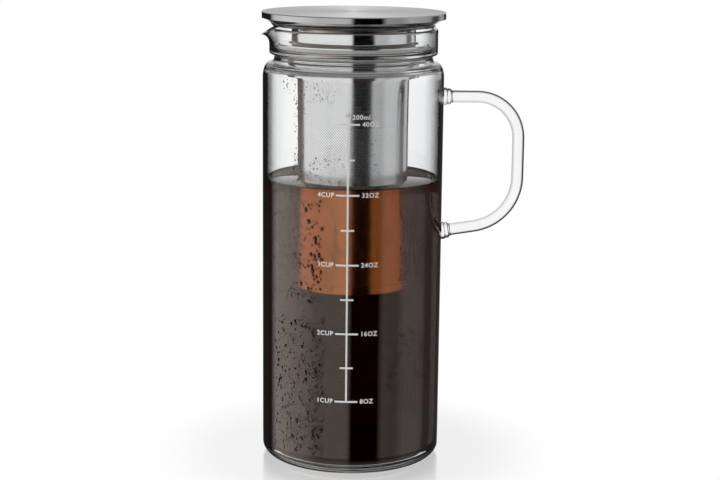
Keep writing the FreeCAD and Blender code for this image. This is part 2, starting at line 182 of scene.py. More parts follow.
IN_MIRRORS = [
    (-180, "ffffff"), (-169, "ffffff"), (-166, "202020"), (-126, "202020"), (-117, "ffffff"),
    (-10, "ffffff"), (-4, "f0f0f0"), (1, "060606"), (35, "060606"), (42, "d0d0d0"),
    (60, "c0c0c0"), (74, "e4e4e4"), (108, "dcdcdc"), (116, "6a6a6a"), (128, "6a6a6a"),
    (134, "d8d8d8"), (148, "d8d8d8"), (152, "101010"), (165, "101010"), (168, "ffffff"),
    (180, "ffffff"),
]
OVERHEAD = [
    (-180, "f4f4f4"), (-150, "e8e8e8"), (-128, "a0a0a0"), (-40, "9c9c9c"), (50, "9c9c9c"),
    (84, "8c8c8c"), (96, "ffffff"), (122, "ffffff"), (134, "a0a0a0"), (150, "e8e8e8"),
    (180, "f4f4f4"),
]
AT_THE_DRINK = [
    (-180, "000000"), (-112, "080606"), (-98, "5c5450"), (-72, "ccc0b8"), (-44, "8c807a"),
    (-12, "4c4440"), (2, "0c0808"), (38, "0c0808"), (52, "4c4038"), (80, "64564c"),
    (96, "1c1614"), (112, "000000"), (180, "000000"),
]
ON_THE_GLASS = [
    (-180, "b4b4b4"), (-169, "b4b4b4"), (-166, "1c1c1c"), (-126, "262626"), (-112, "d8d8d8"),
    (-92, "ffffff"), (-66, "f4f4f4"), (-44, "acacac"), (-10, "acacac"), (-4, "a4a4a4"),
    (1, "040404"), (35, "040404"), (42, "7c7c7c"), (60, "767676"), (74, "a0a0a0"),
    (90, "8c8c8c"), (108, "505050"), (128, "303030"), (165, "303030"), (168, "b4b4b4"),
    (180, "b4b4b4"),
]
ON_MATT = [
    (-180, "e0e0e0"), (-130, "ffffff"), (-30, "ffffff"), (10, "a8a8a8"), (60, "949494"),
    (120, "949494"), (180, "e0e0e0"),
]
LOOKS_UP = (0.05, 0.18)
LOOKS_DOWN = (-0.45, -0.6)
UNDERNEATH = "2c2c2c"

world = bpy.data.worlds.new("studio")
scene.world = world
world.use_nodes = True
tree = world.node_tree
tree.nodes.clear()
direction = add(tree, "ShaderNodeTexCoord").outputs["Generated"]
axes = add(tree, "ShaderNodeSeparateXYZ", None, {0: direction}).outputs
turn = maths(tree, "ARCTAN2", axes["X"], maths(tree, "MULTIPLY", axes["Y"], -1.0))
place = between(tree, turn, -math.pi, math.pi)
in_mirrors = blend(tree, between(tree, axes["Z"], *LOOKS_UP),
                   round_studio(tree, place, IN_MIRRORS), round_studio(tree, place, OVERHEAD))
in_mirrors = blend(tree, between(tree, axes["Z"], *LOOKS_DOWN), in_mirrors, UNDERNEATH)

# %% [markdown]
# The camera sees plain white. Light Path tells the other rays apart, by how often each was
# mirrored and how many surfaces of glass and drink it went through. A mirrored ray sees the
# rings. One that only went through the empty glass sees the white paper behind, or a dark
# ceiling where the groove and the rim bend it steeply up: that draws their dark lines.
#
# Coffee hides what is behind it, so light that has crossed the drink gets the dim back of the
# room. A ray that wandered inside the drink for long is treated the same, because it would
# otherwise light the foot of the carafe from within.
#
# The shine on the front of the glass gets its own rings. A ray mirrored by the outer face has
# crossed no surface, and one mirrored by the inner face has crossed two. Both look gently
# down, since the camera does. The drink is dark, so this shine is most of what is seen of
# it. Bare steel that looks gently down shares the outer ring, which suits it as well.

# %% Light paths
BOTH_WALLS = 3.5
INTO_DRINK = 4.5
LOST_IN_DRINK = 7.5
STRAIGHT_ON = 0.6
STEEPLY_UP = (0.08, 0.2)
GENTLY_DOWN = (-0.05, -0.12)
MIRRORED = 0.5
SAME_COUNT = 0.5
PAPER = "ffffff"
CEILING = "0a0a0a"
BACK_OF_ROOM = "262626"
# Each row: surfaces crossed, what the ray sees, how strong that is.
SHINE = [(2.0, AT_THE_DRINK, 1.0), (0.0, ON_THE_GLASS, 2.2)]

path = add(tree, "ShaderNodeLightPath").outputs
crossed = path["Transmission Depth"]
bounced = maths(tree, "ADD", path["Glossy Depth"], path["Diffuse Depth"])
in_drink = maths(tree, "GREATER_THAN", crossed, INTO_DRINK)
behind_drink = maths(tree, "MULTIPLY", maths(tree, "GREATER_THAN", axes["Y"], STRAIGHT_ON), in_drink)
past_drink = maths(tree, "MAXIMUM", behind_drink, maths(tree, "GREATER_THAN", crossed, LOST_IN_DRINK))

through = blend(tree, between(tree, axes["Z"], *STEEPLY_UP), PAPER, CEILING)
through = blend(tree, maths(tree, "GREATER_THAN", crossed, BOTH_WALLS), PAPER, through)
through = blend(tree, in_drink, through, BACK_OF_ROOM)

downward = between(tree, axes["Z"], *GENTLY_DOWN)
for surfaces, cards, strength in SHINE:
    on_face = maths(tree, "MULTIPLY", maths(tree, "COMPARE", crossed, surfaces, SAME_COUNT), downward)
    ring = add(tree, "ShaderNodeVectorMath", {"operation": "SCALE"}, {
        0: round_studio(tree, place, cards), "Scale": strength})
    in_mirrors = blend(tree, on_face, in_mirrors, ring.outputs[0])

shown = blend(tree, maths(tree, "GREATER_THAN", bounced, MIRRORED), through, in_mirrors)
shown = blend(tree, past_drink, shown, BACK_OF_ROOM)
clear_or_mirror = maths(tree, "MAXIMUM", path["Is Glossy Ray"], path["Is Transmission Ray"])
lit = blend(tree, clear_or_mirror, round_studio(tree, place, ON_MATT), shown)
seen = blend(tree, path["Is Camera Ray"], lit, PAPER)
light = add(tree, "ShaderNodeBackground", None, {"Color": seen, "Strength": 1.0})
add(tree, "ShaderNodeOutputWorld", None, {"Surface": light.outputs[0]})
print("studio:", len(tree.nodes), "nodes")

# %% [markdown]
# ## The floor
# The maker stands on glossy white acrylic, as product photographers use: white, with a faint
# mirror image of the carafe's foot and a soft shadow. It is a small disc. Most of its white
# is emitted, and all of it at the rim, so that it meets the white background without a line.
# A matt part near the foot takes the shadow. Steel doesn't mirror the disc, which would wash
# out the dark stripes, and light that has crossed the drink finds it dark.

# %% Floor
FLOOR_R = 160 * MM
FLOOR_SIDES = 96
FLOOR_DROP = 0.02 * MM
FLOOR_MIRROR = 0.35
MIRROR_FADES = (50 * MM, 85 * MM)
MATT_SHARE = 0.24
MATT_FADES = (62 * MM, 120 * MM)


def acrylic_floor():
    material, tree = new_material("white_acrylic")
    centre = add(tree, "ShaderNodeTexCoord").outputs["Object"]
    reach = add(tree, "ShaderNodeVectorMath", {"operation": "LENGTH"}, {0: centre}).outputs["Value"]
    path = add(tree, "ShaderNodeLightPath").outputs
    glow = add(tree, "ShaderNodeEmission", None, {"Color": linear("ffffff"), "Strength": 1.0})
    matt = add(tree, "ShaderNodeBsdfDiffuse", None, {"Color": linear("fafafa")})
    mirror = add(tree, "ShaderNodeBsdfGlossy", None, {"Color": linear("ffffff"), "Roughness": 0.1})
    dark = add(tree, "ShaderNodeEmission", None, {"Color": linear(BACK_OF_ROOM), "Strength": 1.0})
    open_air = add(tree, "ShaderNodeBsdfTransparent")
    shaded = between(tree, reach, *MATT_FADES, MATT_SHARE, 0.0, soft=True)
    mirroring = between(tree, reach, *MIRROR_FADES, FLOOR_MIRROR, 0.0, soft=True)
    mirroring = maths(tree, "MULTIPLY", mirroring, path["Is Camera Ray"])
    in_drink = maths(tree, "GREATER_THAN", path["Transmission Depth"], INTO_DRINK)
    in_steel = maths(tree, "GREATER_THAN", path["Glossy Depth"], MIRRORED)
    look = mixed(tree, shaded, glow, matt)
    look = mixed(tree, mirroring, look, mirror)
    look = mixed(tree, in_drink, look, dark)
    look = mixed(tree, in_steel, look, open_air)
    add(tree, "ShaderNodeOutputMaterial", None, {"Surface": look.outputs[0]})
    return material


rim_points = []
for side in range(FLOOR_SIDES):
    angle = 2 * math.pi * side / FLOOR_SIDES
    rim_points.append((FLOOR_R * math.cos(angle), FLOOR_R * math.sin(angle), 0))
floor_mesh = bpy.data.meshes.new("floor")
floor_mesh.from_pydata(rim_points, [], [tuple(range(FLOOR_SIDES))])
floor = bpy.data.objects.new("floor", floor_mesh)
scene.collection.objects.link(floor)
floor.data.materials.append(acrylic_floor())
floor.location.z = -FLOOR_DROP
floor.visible_glossy = False

# %% [markdown]
# ## Clear glass and drink
# The carafe and its handle are borosilicate glass, blown and drawn by hand. It is nearly
# colourless, with a trace of grey that only shows where light runs along the wall.
#
# On a white ground a photographer draws the outline of glass with black cards at both sides,
# which its edges bend into view. Cards would also blacken the glass from other sides. So the
# glass gets painted shade instead: its colour darkens where its surface turns away from the
# eye, which Layer Weight finds.
#
# The mirror image in the glass is tinted a little warm, because it is seen over brown coffee.
# Shadow rays pass through with a slight loss, because a renderer can't find the bright paths
# through glass in a few samples.
#
# Coffee soaks up blue first, then green, then red: a thin layer in front of the bright basket
# is amber, and the whole width of the carafe is nearly black. Its index is set lower than a
# real drink's, so that the sunk part of the basket looks as wide as the part above. The skin
# of the coffee has a higher index, for a clear reflection at its top. A bead of water looks
# dark, because it bends the dark of the room towards the eye; here that dark is painted shade,
# a strong grey that the water soaks up.

# %% Glass and drink materials
GLASS_INDEX = 1.473
GLASS_LOSS = (0.82, 0.825, 0.825)
GLASS_SHADOW = "f4f5f5"
GLASS_PAINTED_SHADE_FADE = (0.42, 0.92)


def turned_away(tree, low, high):
    """0 where a surface faces the eye, rising to 1 where it turns away."""
    facing = add(tree, "ShaderNodeLayerWeight", None, {"Blend": 0.5}).outputs["Facing"]
    return between(tree, facing, low, high, soft=True)


def let_light_through(tree, body, loss, density, shadow):
    """Lets shadow rays pass, soaks up colour with depth, and ends the material."""
    pass_by = add(tree, "ShaderNodeBsdfTransparent", None, {"Color": linear(shadow)})
    path = add(tree, "ShaderNodeLightPath").outputs
    surface = mixed(tree, path["Is Shadow Ray"], body, pass_by)
    volume = add(tree, "ShaderNodeVolumeAbsorption", None, {"Color": (*loss, 1.0), "Density": density})
    add(tree, "ShaderNodeOutputMaterial", None, {
        "Surface": surface.outputs[0], "Volume": volume.outputs[0]})


def clear_body(name, index, loss, density, shadow, edge=None):
    """A clear material. edge, if given, is the colour of painted shade where the surface turns away from
    the eye.
    """
    material, tree = new_material(name)
    body = add(tree, "ShaderNodeBsdfPrincipled", None, {
        "Base Color": linear("ffffff"), "Roughness": 0.0, "IOR": index, "Transmission Weight": 1.0,
        "Specular Tint": linear("ffeadb")})
    if edge:
        edge_shade_paint = blend(tree, turned_away(tree, *GLASS_PAINTED_SHADE_FADE), "ffffff", edge)
        tree.links.new(edge_shade_paint, body.inputs["Base Color"])
    let_light_through(tree, body, loss, density, shadow)
    return material


# The 1c1c1c given to the glass is painted shade at its edges, standing in for the dark cards.
BOROSILICATE = clear_body("borosilicate_glass", GLASS_INDEX, GLASS_LOSS, 90.0, GLASS_SHADOW, "1c1c1c")
COFFEE = clear_body("cold_brew_coffee", 1.12, (0.80, 0.45, 0.02), 100.0, "60402c")
SKIN = clear_body("coffee_skin", 1.5, (0.9, 0.7, 0.4), 40.0, "d0c0b0")
# The water's strong grey, soaked up at density 900, is painted shade that darkens each bead.
WATER_PAINTED_DARK = clear_body("condensed_water_painted_dark", 1.333, (0.3, 0.3, 0.3), 900.0, "f4f4f4")

# %% [markdown]
# ## One way to turn round pieces
# A blown carafe and its drink are shapes of revolution. A function takes an outline of radii
# and heights in millimetres and turns it into a mesh of even strips. An outline that starts
# and ends on the axis closes there. Each finished mesh becomes a piece that rides on one body
# of the maker, and a mesh that came out inside out is turned, because glass needs to know
# which side is its inside.

# %% Turning an outline
STRIPS = 192
ON_AXIS = 1e-6


def arc(centre, radius, start, end, steps):
    """Points on an arc, from one angle to another in degrees."""
    points = []
    for step in range(steps + 1):
        angle = math.radians(start + (end - start) * step / steps)
        points.append((centre[0] + radius * math.cos(angle), centre[1] + radius * math.sin(angle)))
    return points


def straight(start, end, steps):
    """Points between two ends, without the ends."""
    points = []
    for step in range(1, steps):
        share = step / steps
        points.append((start[0] + (end[0] - start[0]) * share, start[1] + (end[1] - start[1]) * share))
    return points


def smooth_mesh(name, points, faces):
    mesh = bpy.data.meshes.new(name)
    mesh.from_pydata(points, [], faces)
    mesh.shade_smooth()
    return mesh


def turned(name, outline, bend=None, strips=STRIPS):
    """A mesh turned about the Z axis. bend may move each point."""
    points, rings = [], []
    for radius, z in outline:
        if radius < ON_AXIS:
            rings.append([len(points)])
            points.append((0.0, 0.0, z * MM))
            continue
        ring = []
        for strip in range(strips):
            angle = 2 * math.pi * strip / strips
            r, height = bend(radius, z, angle) if bend else (radius, z)
            ring.append(len(points))
            points.append((r * math.cos(angle) * MM, r * math.sin(angle) * MM, height * MM))
        rings.append(ring)
    faces = []
    for low, high in zip(rings, rings[1:]):
        for strip in range(strips):
            after = (strip + 1) % strips
            if len(low) == 1:
                faces.append((low[0], high[after], high[strip]))
            elif len(high) == 1:
                faces.append((low[strip], low[after], high[0]))
            else:
                faces.append((low[strip], low[after], high[after], high[strip]))
    return smooth_mesh(name, points, faces)


def filled(mesh):
    """The volume inside a closed mesh in millilitres. Faces that point inwards make it negative."""
    total = 0.0
    mesh.calc_loop_triangles()
    for triangle in mesh.loop_triangles:
        a, b, c = (mesh.vertices[index].co for index in triangle.vertices)
        total += a.dot(b.cross(c)) / 6
    return total * 1e6


def piece(name, mesh, material, body, slot, *replaced):
    """Puts a mesh in the scene as a piece that rides on a body."""
    if filled(mesh) < 0:
        mesh.flip_normals()
        print(name, "turned right side out")
    made = bpy.data.objects.new(name, mesh)
    scene.collection.objects.link(made)
    made.data.materials.append(material)
    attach(made, body)
    if replaced:
        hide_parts(*replaced)
    print(name, len(mesh.vertices), "points,", round(filled(mesh), 3), "ml")


# %% [markdown]
# ## The carafe
# The outline runs up the outside of the glass and back down the inside. A rounded groove
# under the rim holds the basket, and a small pouring lip is pulled out and down from the soft
# rim. The lip is a smooth bend of the wall: strongest at the -X side and gone 22 degrees away.
# The solid of the carafe could be shown as it is, but its facets would show in clear glass,
# so a finer mesh with the same sizes takes its place.

# %% Carafe glass
BODY_R = 48.0
WALL = 2.4
FLOOR_T = 4.4
FOOT_ROUND = 6.0
FLOOR_ROUND = 5.0
SHOULDER_Z = 205.0
GROOVE = (44.2, 215.1)
GROOVE_ROUND = 2.2
GROOVE_WALL = 3.6
NECK_R = 44.5
NECK_ROUND = 1.0
NECK_FILLET = 1.5
RIM_Z = 231.0
LIP_HEIGHT = 9.0
LIP_REACH = 4.9
LIP_DROP = 4.1
LIP_HALF_ANGLE = math.radians(22.0)
CARAFE_STRIPS = 256


def quarter_ellipse(side, level, steps):
    """From an upright start at the side to a level end."""
    points = []
    for step in range(steps + 1):
        angle = math.pi / 2 * step / steps
        across = level[0] + (side[0] - level[0]) * math.cos(angle)
        points.append((across, side[1] + (level[1] - side[1]) * math.sin(angle)))
    return points


def beside(radius, reach):
    """Centre of a round that touches the groove's circle from above, at a radius."""
    return (radius, GROOVE[1] + math.sqrt(reach ** 2 - (GROOVE[0] - radius) ** 2))


def angle_from(centre, point):
    return math.degrees(math.atan2(point[1] - centre[1], point[0] - centre[0]))


def carafe_outline():
    inner = BODY_R - WALL
    neck_inner = NECK_R - WALL
    inner_groove = GROOVE_ROUND + GROOVE_WALL
    corner = beside(NECK_R - NECK_ROUND, GROOVE_ROUND + NECK_ROUND)
    fillet = beside(neck_inner - NECK_FILLET, inner_groove + NECK_FILLET)
    corner_touch = angle_from(GROOVE, corner)
    fillet_touch = angle_from(GROOVE, fillet)
    rim = (NECK_R - WALL / 2, RIM_Z - WALL / 2)
    outside = [(0, 0)] + straight((0, 0), (BODY_R - FOOT_ROUND, 0), 6)
    outside += arc((BODY_R - FOOT_ROUND, FOOT_ROUND), FOOT_ROUND, -90, 0, 12)
    outside += straight((BODY_R, FOOT_ROUND), (BODY_R, SHOULDER_Z), 24)
    outside += quarter_ellipse((BODY_R, SHOULDER_Z), (GROOVE[0], GROOVE[1] - GROOVE_ROUND), 12)
    outside += arc(GROOVE, GROOVE_ROUND, 270, corner_touch, 12)[1:]
    outside += arc(corner, NECK_ROUND, corner_touch - 180, 0, 5)[1:]
    outside += straight((NECK_R, corner[1]), (NECK_R, rim[1]), 12)
    crown = arc(rim, WALL / 2, 0, 180, 10)
    inside = straight((neck_inner, rim[1]), (neck_inner, fillet[1]), 10)
    inside += arc(fillet, NECK_FILLET, 0, fillet_touch - 180, 6)
    inside += arc(GROOVE, inner_groove, fillet_touch, 270, 16)[1:]
    inside += quarter_ellipse((inner, SHOULDER_Z), (GROOVE[0], GROOVE[1] - inner_groove), 8)[::-1][1:]
    inside += straight((inner, SHOULDER_Z), (inner, FLOOR_T + FLOOR_ROUND), 24)
    inside += arc((inner - FLOOR_ROUND, FLOOR_T + FLOOR_ROUND), FLOOR_ROUND, 0, -90, 10)
    inside += straight((inner - FLOOR_ROUND, FLOOR_T), (0, FLOOR_T), 6) + [(0, FLOOR_T)]
    return outside + crown + inside


def pull_lip(radius, z, angle):
    """Bends the wall above the root of the lip out and down, most at the -X side."""
    away = math.atan2(math.sin(angle - math.pi), math.cos(angle - math.pi))
    height = (z - (RIM_Z - LIP_HEIGHT)) / LIP_HEIGHT
    if height <= 0 or abs(away) >= LIP_HALF_ANGLE:
        return radius, z
    pull = math.cos(math.pi / 2 * away / LIP_HALF_ANGLE) ** 2 * height ** 2
    return radius + LIP_REACH * pull, z - LIP_DROP * pull


piece("carafe_glass", turned("carafe_glass", carafe_outline(), pull_lip, CARAFE_STRIPS),
      BOROSILICATE, "carafe", "clear_glass", "carafe_body")

# %% [markdown]
# ## The drink
# The coffee fills the glass to just over the fourth cup. Its mesh reaches a tenth of a
# millimetre into the glass, so that no film of air shines between them. It climbs the wall
# in a small meniscus. A thin disc just over its top is the skin that catches the light.

# %% Coffee
DRINK_Z = 151.0
DRINK_OVERLAP = 0.1
MENISCUS = 1.4
MENISCUS_WIDTH = 2.6
MENISCUS_CURVE = 2.2
MENISCUS_STEPS = 8
SKIN_LIFT = 0.02
SKIN_T = 0.16
SKIN_BEVEL = 0.1


def drink_outline():
    wall = BODY_R - WALL + DRINK_OVERLAP
    low = FLOOR_T - DRINK_OVERLAP
    points = [(0, low)] + straight((0, low), (wall - FLOOR_ROUND, low), 5)
    points += arc((wall - FLOOR_ROUND, low + FLOOR_ROUND), FLOOR_ROUND, -90, 0, 10)
    points += straight((wall, low + FLOOR_ROUND), (wall, DRINK_Z + MENISCUS), 16)
    for step in range(MENISCUS_STEPS + 1):
        share = step / MENISCUS_STEPS
        height = MENISCUS * (1 - share) ** MENISCUS_CURVE
        points.append((wall - MENISCUS_WIDTH * share, DRINK_Z + height))
    points += straight((wall - MENISCUS_WIDTH, DRINK_Z), (0, DRINK_Z), 12) + [(0, DRINK_Z)]
    return points


def skin_outline():
    edge = BODY_R - WALL - MENISCUS_WIDTH
    low, high = DRINK_Z + SKIN_LIFT, DRINK_Z + SKIN_LIFT + SKIN_T
    return [(0, low), (edge - SKIN_BEVEL, low), (edge, (low + high) / 2), (edge - SKIN_BEVEL, high),
            (0, high)]


piece("coffee", turned("coffee", drink_outline()), COFFEE, "carafe", "clear_glass")
piece("coffee_surface", turned("coffee_surface", skin_outline()), SKIN, "carafe", "clear_glass")

# %% [markdown]
# ## The handle
# One glass rod is bent over a former and fused to the wall at both ends, where it spreads into
# a small pad. The piece is swept along that centre line, and its radius grows at the ends, so
# that the rod and both pads are one glass, as they are once fused.

# %% Glass handle
ROD_R = 3.2
ROD_SIDES = 40
HANDLE_X = 88.0
HANDLE_TOP_Z = 195.1
HANDLE_FOOT_Z = 122.7
TOP_BEND = 22.0
FOOT_BEND = 27.0
FOOT_SLOPE = 9.0
INTO_WALL = 0.6
WELD_PROFILE = [(0.0, 4.7), (1.2, 4.65), (1.9, 4.1), (2.7, 4.35), (3.3, 4.2), (4.0, 3.5), (4.8, ROD_R)]


def handle_line():
    """Points along the rod in the XZ plane, in millimetres, from its upper end."""
    slope = math.radians(FOOT_SLOPE)
    start = (BODY_R - INTO_WALL, HANDLE_TOP_Z)
    bend = (HANDLE_X - TOP_BEND, HANDLE_TOP_Z - TOP_BEND)
    leave_x = HANDLE_X - FOOT_BEND + FOOT_BEND * math.sin(slope)
    leave = (leave_x, HANDLE_FOOT_Z + (leave_x - BODY_R) * math.tan(slope))
    foot = (HANDLE_X - FOOT_BEND, leave[1] + FOOT_BEND * math.cos(slope))
    end = (BODY_R - INTO_WALL, HANDLE_FOOT_Z - INTO_WALL * math.tan(slope))
    points = [start] + straight(start, (bend[0], HANDLE_TOP_Z), 60)
    points += arc(bend, TOP_BEND, 90, 0, 20)
    points += straight((HANDLE_X, bend[1]), (HANDLE_X, foot[1]), 6)
    points += arc(foot, FOOT_BEND, 0, FOOT_SLOPE - 90, 20)
    points += straight(leave, end, 48) + [end]
    return points


def rod_radius(from_end):
    """The rod's radius at a distance from the wall: a pad, a neck and a ring, then the rod."""
    from_wall = max(from_end - INTO_WALL, 0.0)
    for (near, thick), (far, thin) in zip(WELD_PROFILE, WELD_PROFILE[1:]):
        if from_wall <= far:
            share = (from_wall - near) / (far - near)
            share = share * share * (3 - 2 * share)
            return thick + (thin - thick) * share
    return ROD_R


def swept_rod(name, line):
    runs = [math.dist(a, b) for a, b in zip(line, line[1:])]
    total = sum(runs)
    points, faces, run = [], [], 0.0
    for number, (x, z) in enumerate(line):
        before = line[max(number - 1, 0)]
        after = line[min(number + 1, len(line) - 1)]
        tangent = Vector((after[0] - before[0], 0, after[1] - before[1])).normalized()
        side = Vector((0, 1, 0))
        normal = tangent.cross(side)
        radius = rod_radius(min(run, total - run))
        for step in range(ROD_SIDES):
            angle = 2 * math.pi * step / ROD_SIDES
            offset = (normal * math.cos(angle) + side * math.sin(angle)) * radius
            points.append(((x + offset.x) * MM, offset.y * MM, (z + offset.z) * MM))
        if number < len(runs):
            run += runs[number]
    for ring in range(len(line) - 1):
        for step in range(ROD_SIDES):
            after = (step + 1) % ROD_SIDES
            low, high = ring * ROD_SIDES, (ring + 1) * ROD_SIDES
            faces.append((low + step, high + step, high + after, low + after))
    faces.append(tuple(range(ROD_SIDES)))
    faces.append(tuple(reversed(range(len(points) - ROD_SIDES, len(points)))))
    print("rod:", round(total, 1), "mm long")
    return smooth_mesh(name, points, faces)


handle = swept_rod("glass_handle", handle_line())

# %% [markdown]
# A solid glass rod bends its surroundings far more than a thin wall does. Its outer side, away
# from the hand, shows the dark of the room in a strong line, and its inner side a faint one.
# Both lines are painted shade here: the rod's colour darkens where Layer Weight finds it turning
# away from the eye, and the direction from the middle of the loop tells the outer side from the
# inner one. The rod mirrors less than the wall, so that its bright core stays calm.

# %% Rod glass
LOOP_MIDDLE = (66.0 * MM, 0.0, 158.0 * MM)
ROD_PAINTED_SHADE_FADE = (0.12, 0.38)
INNER_TO_OUTER = (-0.5, 0.4)
INNER_PAINTED_SHADE = 0.45
ROD_DENSITY = 30.0


def rod_glass():
    material, tree = new_material("drawn_glass_rod")
    place = add(tree, "ShaderNodeTexCoord").outputs
    arm = add(tree, "ShaderNodeVectorMath", {"operation": "SUBTRACT"}, {0: place["Object"], 1: LOOP_MIDDLE})
    arm = add(tree, "ShaderNodeVectorMath", {"operation": "NORMALIZE"}, {0: arm.outputs[0]})
    side = add(tree, "ShaderNodeVectorMath", {"operation": "DOT_PRODUCT"},
               {0: arm.outputs[0], 1: place["Normal"]}).outputs["Value"]
    # The dark lines on the rod are painted shade: 050505 in its colour, full on the outer side and weaker
    # on the inner one.
    outer = between(tree, side, *INNER_TO_OUTER, INNER_PAINTED_SHADE, 1.0, soft=True)
    line = maths(tree, "MULTIPLY", outer, turned_away(tree, *ROD_PAINTED_SHADE_FADE))
    body = add(tree, "ShaderNodeBsdfPrincipled", None, {
        "Base Color": blend(tree, line, "ffffff", "050505"), "Roughness": 0.0, "IOR": GLASS_INDEX,
        "Transmission Weight": 1.0, "Specular IOR Level": 0.25})
    let_light_through(tree, body, GLASS_LOSS, ROD_DENSITY, GLASS_SHADOW)
    return material


piece("glass_handle", handle, rod_glass(), "carafe", "clear_glass",
      "handle_rod", "upper_handle_weld", "lower_handle_weld")

# %% [markdown]
# ## Steel
# Stainless steel is grey because it mirrors only about six tenths of the light. What changes
# from piece to piece is how it was finished. Buffed steel is a clear mirror that shows the
# panels as sharp bands, and a rolled band is a little blurred, so its bands run together.
# Both keep fine lines from the lathe. These solids have their shape already and only need
# their finish.

# %% Steel finishes
GRAIN_SPREAD = 0.3


def grain_lines(tree, along, width, detail):
    """Noise along one value, such as a height or a radius. width is in millimetres."""
    return add(tree, "ShaderNodeTexNoise", {"noise_dimensions": "1D"}, {
        "W": along, "Scale": 1 / (width * MM), "Detail": detail}).outputs["Fac"]


def steel(name, colour, roughness, grain, depth):
    """Stainless steel. grain and depth, in millimetres, are the fine lines' width and height."""
    material, tree = new_material(name)
    place = add(tree, "ShaderNodeTexCoord").outputs["Object"]
    height = add(tree, "ShaderNodeSeparateXYZ", None, {0: place}).outputs["Z"]
    lines = grain_lines(tree, height, grain, 2.0)
    rough = between(tree, lines, 0.0, 1.0, roughness * (1 - GRAIN_SPREAD), roughness * (1 + GRAIN_SPREAD))
    bump = add(tree, "ShaderNodeBump", None, {"Height": lines, "Distance": depth * MM, "Strength": 1.0})
    body = add(tree, "ShaderNodeBsdfPrincipled", None, {
        "Base Color": linear(colour), "Metallic": 1.0, "Roughness": rough, "Normal": bump.outputs[0]})
    add(tree, "ShaderNodeOutputMaterial", None, {"Surface": body.outputs[0]})
    return material


def use(material, *nodes):
    """Gives solids that came with the frame their finish."""
    for node in nodes:
        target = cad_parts[node]
        target.data.materials.clear()
        target.data.materials.append(material)
    print(material.name, "on", ", ".join(nodes))


use(steel("buffed_stainless", "e4e4e4", 0.06, 1.6, 0.002),
    "lid_dish", "lid_plug", "filter_rim", "filter_collar", "filter_step")
use(steel("rolled_stainless", "dadada", 0.16, 1.2, 0.004),
    "upper_band", "lower_band", "mesh_seam", "filter_base_cap", "seal_carrier")

# %% [markdown]
# ## Silicone
# The soft rings are pale silicone. It is matt but not chalky: its skin has a wide soft shine
# that wavers a little from place to place, which is what makes it look like rubber.

# %% Silicone
def specks(tree, size, detail):
    """Noise in space. size is in millimetres."""
    place = add(tree, "ShaderNodeTexCoord").outputs["Object"]
    return add(tree, "ShaderNodeTexNoise", None, {
        "Vector": place, "Scale": 1 / (size * MM), "Detail": detail}).outputs["Fac"]


def silicone():
    material, tree = new_material("grey_silicone")
    rough = between(tree, specks(tree, 0.4, 3.0), 0.0, 1.0, 0.34, 0.44)
    body = add(tree, "ShaderNodeBsdfPrincipled", None, {
        "Base Color": linear("f2f2f2"), "Roughness": rough, "Specular IOR Level": 0.8})
    add(tree, "ShaderNodeOutputMaterial", None, {"Surface": body.outputs[0]})
    return material


use(silicone(), "filter_seal", "upper_seal_ring", "lower_seal_ring")

# %% [markdown]
# ## The lid's top
# The flat top is brushed as it spins on a lathe, which leaves fine rings. They spread the
# light across themselves, so the shine opens into fans from the middle: that is what the
# anisotropy is for, with its tangent running round the axis. The turned-down skirt is buffed.
# The height of a point tells one finish from the other.

# %% Brushed lid top
RING_WIDTH = 0.5
BUFFED_ROUGHNESS = 0.05
BRUSHED_ROUGHNESS = (0.24, 0.36)
BRUSHED_FROM = 0.4 * MM
BRUSHED_TO = 0.1 * MM


def brushed_lid():
    material, tree = new_material("lathe_brushed_stainless")
    place = add(tree, "ShaderNodeTexCoord").outputs["Object"]
    axes = add(tree, "ShaderNodeSeparateXYZ", None, {0: place}).outputs
    flat = add(tree, "ShaderNodeCombineXYZ", None, {"X": axes["X"], "Y": axes["Y"]}).outputs[0]
    radius = add(tree, "ShaderNodeVectorMath", {"operation": "LENGTH"}, {0: flat}).outputs["Value"]
    rings = grain_lines(tree, radius, RING_WIDTH, 3.0)
    top_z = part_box("lid_top_plate")[1].z
    on_top = between(tree, axes["Z"], top_z - BRUSHED_FROM, top_z - BRUSHED_TO)
    grain = between(tree, rings, 0.0, 1.0, *BRUSHED_ROUGHNESS)
    rough = add(tree, "ShaderNodeMix", None, {"Factor": on_top, "A": BUFFED_ROUGHNESS, "B": grain})
    around = add(tree, "ShaderNodeTangent", {"direction_type": "RADIAL", "axis": "Z"})
    body = add(tree, "ShaderNodeBsdfPrincipled", None, {
        "Base Color": blend(tree, rings, "989898", "bcbcbc"), "Metallic": 1.0,
        "Roughness": rough.outputs[0], "Anisotropic": 0.85, "Tangent": around.outputs[0]})
    add(tree, "ShaderNodeOutputMaterial", None, {"Surface": body.outputs[0]})
    return material


use(brushed_lid(), "lid_top_plate")

# %% [markdown]
# ## The mesh
# The basket's wall is a fine woven mesh. From where the camera stands its weave is finer than
# a pixel and only greys the steel, so it is drawn a little coarser to be seen at all. Two sine
# waves, one round the sleeve and one along it, make the pattern of wires and holes. A whole
# number of wires goes round, so that the pattern has no seam.

# %% Mesh sleeve
MESH_PITCH = 1.5 * MM
HOLE_FROM, HOLE_TO = 0.1, 0.7


